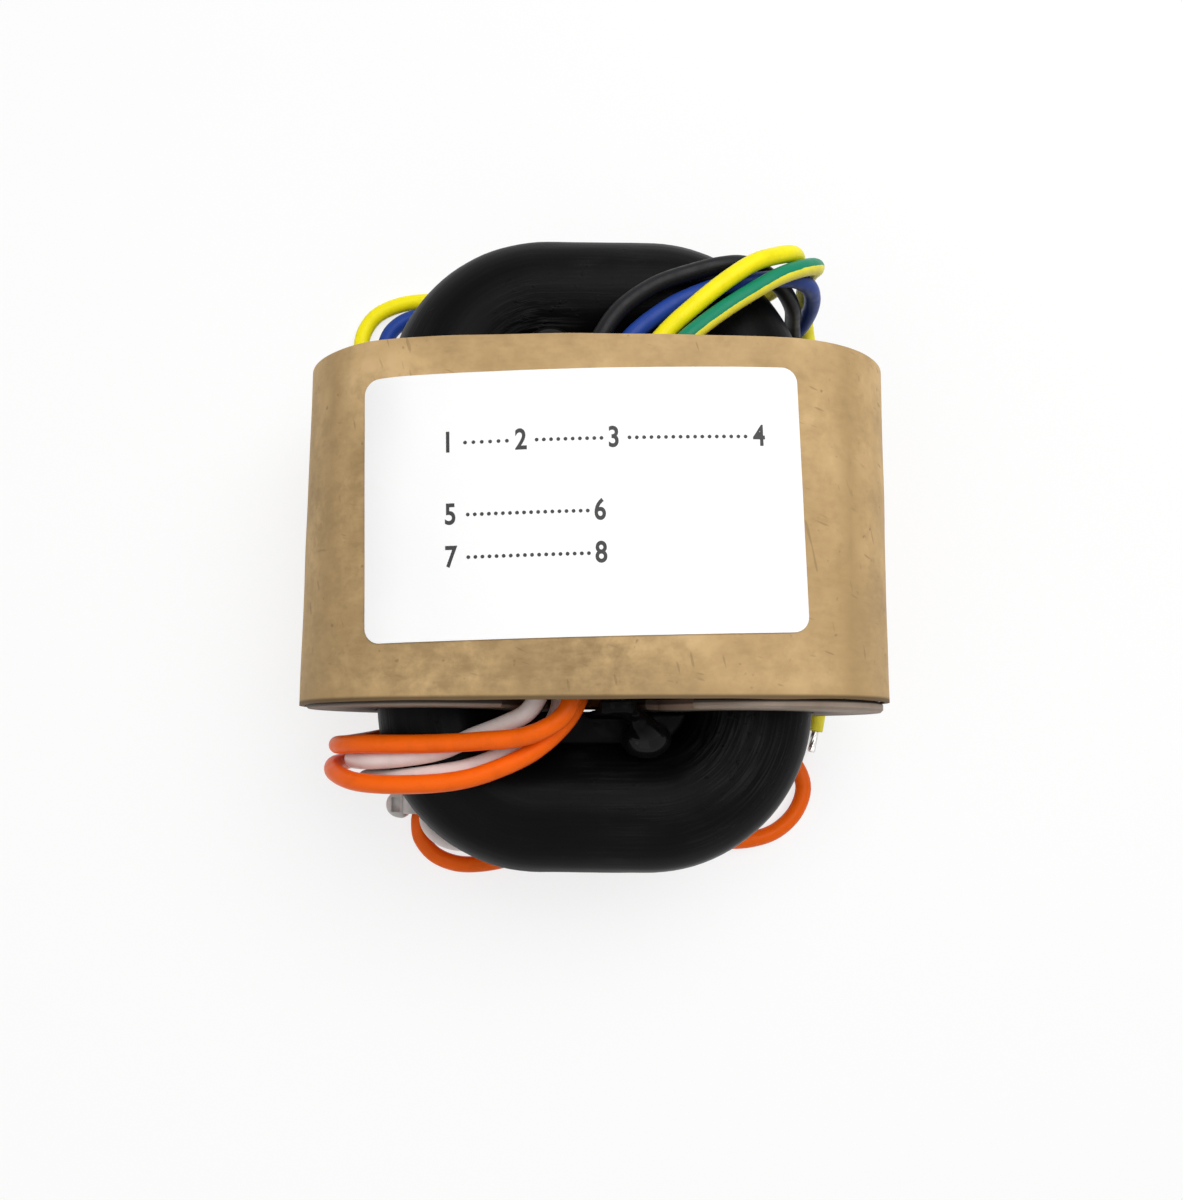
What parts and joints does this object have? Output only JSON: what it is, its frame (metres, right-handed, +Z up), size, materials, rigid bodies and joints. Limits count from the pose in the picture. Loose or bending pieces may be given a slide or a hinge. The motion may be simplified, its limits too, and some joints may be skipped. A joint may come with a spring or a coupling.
{
  "type": "r-core transformer",
  "caption": "Mains transformer with a round-section wound core, two toothed bobbins on its legs, a paper sleeve round both coils, and flying leads folded under the yokes.",
  "frame": {"origin": "middle of the sleeve's flat underside, on the surface that the part lies on, under the middle of the core", "axes": "+X across the two coils, +Y along the coils from the secondary leads' end to the primary leads' end, +Z up out of the sleeve's crowned top"},
  "size_m": [0.074, 0.0838, 0.0363],
  "materials": {
    "core_varnish": "satin black varnish over wound silicon steel",
    "bobbin_resin": "moulded, pale pinkish grey",
    "winding_copper": "enamelled copper wire, one solid per winding",
    "insulating_film": "yellow polyester film tape",
    "screen_foil": "bare copper foil",
    "sleeve_paper": "tan insulating paper, matt and slightly mottled",
    "label_paper": "coated white",
    "locking_resin": "dark set resin, glossy",
    "black_insulation": "smooth",
    "blue_insulation": "smooth",
    "yellow_insulation": "smooth",
    "striped_insulation": "smooth, one half yellow and one half green",
    "orange_insulation": "smooth",
    "white_insulation": "smooth",
    "tinned_copper": "dipped in solder",
    "tie_nylon": "natural nylon"
  },
  "bodies": {
    "root": {"core": "core_varnish", "left_bobbin_upper": "bobbin_resin", "left_bobbin_lower": "bobbin_resin", "right_bobbin_upper": "bobbin_resin", "right_bobbin_lower": "bobbin_resin", "left_primary": "winding_copper", "right_primary": "winding_copper", "left_primary_wrap": "insulating_film", "right_primary_wrap": "insulating_film", "left_screen": "screen_foil", "right_screen": "screen_foil", "left_screen_wrap": "insulating_film", "right_screen_wrap": "insulating_film", "left_secondary": "winding_copper", "right_secondary": "winding_copper", "left_outer_wrap": "insulating_film", "right_outer_wrap": "insulating_film", "paper_sleeve": "sleeve_paper", "label": "label_paper", "near_resin_drop": "locking_resin", "far_resin_drop": "locking_resin", "black_lead": "black_insulation", "blue_lead": "blue_insulation", "yellow_lead": "yellow_insulation", "screen_lead": "striped_insulation", "orange_lead_a": "orange_insulation", "orange_lead_b": "orange_insulation", "white_lead_a": "white_insulation", "white_lead_b": "white_insulation", "primary_lead_tips": "tinned_copper", "secondary_lead_tips": "tinned_copper", "lead_tie": "tie_nylon"}
  },
  "joints": []
}
